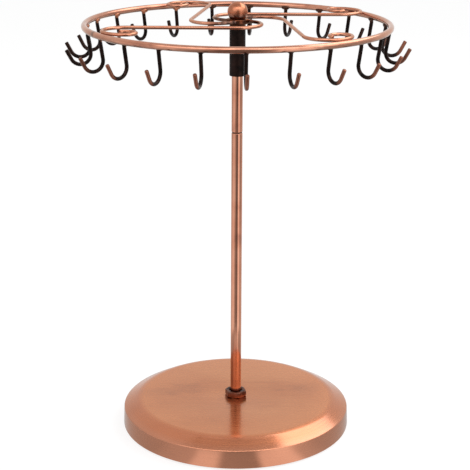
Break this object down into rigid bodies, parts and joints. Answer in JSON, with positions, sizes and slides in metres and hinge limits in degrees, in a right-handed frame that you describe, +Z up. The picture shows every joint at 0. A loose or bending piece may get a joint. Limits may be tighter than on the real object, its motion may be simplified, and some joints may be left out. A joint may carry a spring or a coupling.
{
  "type": "rotating jewelry stand",
  "caption": "Tabletop jewelry stand: a ring of hooks on scrolled arms that turns on a thin post above a round weighted base.",
  "frame": {"origin": "centre of the base, on the surface that the stand rests on", "axes": "+Z up along the post, -Y towards the front, +X to the right as seen from the front"},
  "size_m": [0.2722, 0.2725, 0.3572],
  "materials": {
    "copper_plate": "steel with brushed antique copper plating under clear lacquer",
    "dark_bronze": "steel with a near-black bronze finish, rubbed back to copper on the edges",
    "cast_weight": "as cast",
    "foam_pad": "matt foam sheet",
    "zinc_steel": "zinc plated",
    "bush_plastic": "natural moulded"
  },
  "bodies": {
    "stand": {"base_cover": "copper_plate", "base_weight": "cast_weight", "base_pad": "foam_pad", "base_washer": "zinc_steel", "base_nut": "zinc_steel", "foot_stud": "zinc_steel", "foot_nut": "dark_bronze", "lower_post": "copper_plate", "post_coupler": "dark_bronze", "upper_post": "copper_plate", "post_pivot": "zinc_steel"},
    "head": {"hub_sleeve": "dark_bronze", "lower_bush": "bush_plastic", "upper_bush": "bush_plastic", "thrust_disc": "bush_plastic", "hub_cap": "copper_plate", "finial_stud": "zinc_steel", "finial_ball": "copper_plate", "ring": "copper_plate", "scroll_arm_1": "copper_plate", "scroll_arm_2": "copper_plate", "scroll_arm_3": "copper_plate", "scroll_arm_4": "copper_plate", "hook_01": "dark_bronze", "hook_02": "dark_bronze", "hook_03": "dark_bronze", "hook_04": "dark_bronze", "hook_05": "dark_bronze", "hook_06": "dark_bronze", "hook_07": "dark_bronze", "hook_08": "dark_bronze", "hook_09": "dark_bronze", "hook_10": "dark_bronze", "hook_11": "dark_bronze", "hook_12": "dark_bronze", "hook_13": "dark_bronze", "hook_14": "dark_bronze", "hook_15": "dark_bronze", "hook_16": "dark_bronze", "hook_17": "dark_bronze", "hook_18": "dark_bronze", "hook_19": "dark_bronze", "hook_20": "dark_bronze", "hook_21": "dark_bronze", "hook_22": "dark_bronze", "hook_23": "dark_bronze"}
  },
  "joints": [
    {"name": "head_spin", "type": "hinge", "parent": "stand", "child": "head", "pos_m": [0, 0, 0.339], "axis": [0, 0, 1], "continuous": true}
  ]
}
